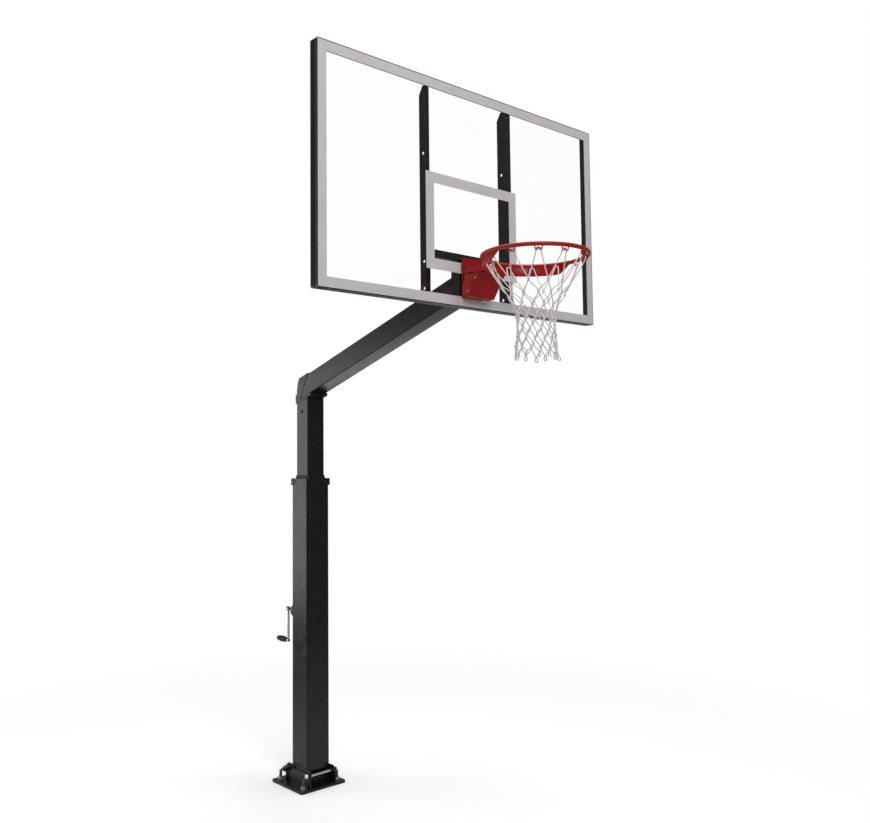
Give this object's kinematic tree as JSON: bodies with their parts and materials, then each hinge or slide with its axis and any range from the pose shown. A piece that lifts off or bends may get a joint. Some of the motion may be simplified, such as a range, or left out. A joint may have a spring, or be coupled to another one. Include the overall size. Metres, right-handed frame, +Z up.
{
  "type": "basketball hoop",
  "caption": "Anchor-mounted basketball hoop with a crank-raised telescoping square post, sloping arm, framed glass backboard and sprung breakaway rim with net",
  "frame": {"origin": "centre of the base plate's underside, midway between the four anchor studs", "axes": "+Z up, the backboard faces -Y, +X to the right seen from the court"},
  "size_m": [1.8288, 2.3496, 3.6198],
  "materials": {
    "black_coat": "semi-gloss black powder coat",
    "red_coat": "satin red powder coat",
    "zinc": "zinc-plated steel",
    "bright_steel": "bright drawn steel",
    "grease_steel": "oiled steel",
    "bronze": "cast bronze",
    "clear_glass": "clear tempered glass, polished edges",
    "grey_print": "fired grey screen print",
    "tape": "black foam mounting tape",
    "pad": "slippery plastic wear pad",
    "grip_rubber": "moulded black grip",
    "net_cord": "off-white braided nylon"
  },
  "bodies": {
    "anchor": {"base_plate": "black_coat", "base_lugs": "black_coat", "anchor_studs": "grease_steel", "anchor_washers": "zinc", "anchor_nuts": "zinc", "hinge_rod": "grease_steel", "hinge_nut": "grease_steel", "hinge_washers": "grease_steel"},
    "post": {"lower_post": "black_coat", "foot_plates": "black_coat", "front_rod": "bright_steel", "front_rod_nut": "grease_steel", "post_collar": "black_coat", "collar_bezel": "black_coat", "collar_screws": "grease_steel", "guide_pads": "pad", "gear_housing": "black_coat", "housing_bolts": "grease_steel", "gear_case": "black_coat", "thrust_bearing": "grease_steel"},
    "upper": {"upper_post": "black_coat", "foot_pads": "pad", "nut_carrier": "grease_steel", "drive_nut": "bronze", "post_flange": "black_coat", "arm_flange": "black_coat", "head_bolts": "grease_steel", "arm": "black_coat", "arm_cap": "black_coat", "glass_pane": "clear_glass", "border_print": "grey_print", "target_print": "grey_print", "glass_tape": "tape", "frame_top": "black_coat", "frame_left": "black_coat", "frame_bottom": "black_coat", "frame_right": "black_coat", "board_uprights": "black_coat", "crossbar": "black_coat", "mount_channel": "black_coat", "arm_cheeks": "black_coat", "rim_plate": "red_coat", "rim_bolts": "zinc", "rim_bolt_nuts": "zinc", "rim_housing": "red_coat", "housing_screws": "zinc", "rim_pin": "grease_steel", "rim_spring": "grease_steel"},
    "rim": {"rim_neck": "red_coat", "rim_ring": "red_coat", "rim_brace": "red_coat", "net_hooks": "red_coat", "net": "net_cord"},
    "screw": {"lead_screw": "grease_steel", "screw_gear": "grease_steel"},
    "crank": {"input_shaft": "grease_steel", "input_gear": "grease_steel", "crank_arm": "bright_steel", "grip_pin": "grease_steel"},
    "grip": {"crank_grip": "grip_rubber"}
  },
  "joints": [
    {"name": "post_tilt", "type": "hinge", "parent": "anchor", "child": "post", "pos_m": [0, 0.08, 0.078], "axis": [-1, 0, 0], "range_deg": [0, 70]},
    {"name": "height_slide", "type": "slide", "parent": "post", "child": "upper", "axis": [0, 0, 1], "range_m": [-0.305, 0.305]},
    {"name": "rim_flex", "type": "hinge", "parent": "upper", "child": "rim", "pos_m": [0, -1.412, 2.733], "axis": [1, 0, 0], "range_deg": [0, 18], "stiffness_Nm_per_rad": 1200, "springref_deg": -11.46, "deforming": ["rim_spring"]},
    {"name": "screw_turn", "type": "hinge", "parent": "post", "child": "screw", "pos_m": [0, -0.02, 0.953], "axis": [0, 0, 1], "range_deg": [-4330, 4330]},
    {"name": "crank_turn", "type": "hinge", "parent": "post", "child": "crank", "pos_m": [0, 0, 0.953], "axis": [0, 1, 0], "range_deg": [-4330, 4330]},
    {"name": "grip_spin", "type": "hinge", "parent": "crank", "child": "grip", "pos_m": [0, 0.267, 0.768], "axis": [0, 1, 0], "continuous": true}
  ],
  "couplings": [
    {"joint": "screw_turn", "follows": "height_slide", "rad_per_m": -247.37},
    {"joint": "crank_turn", "follows": "height_slide", "rad_per_m": -247.37}
  ]
}
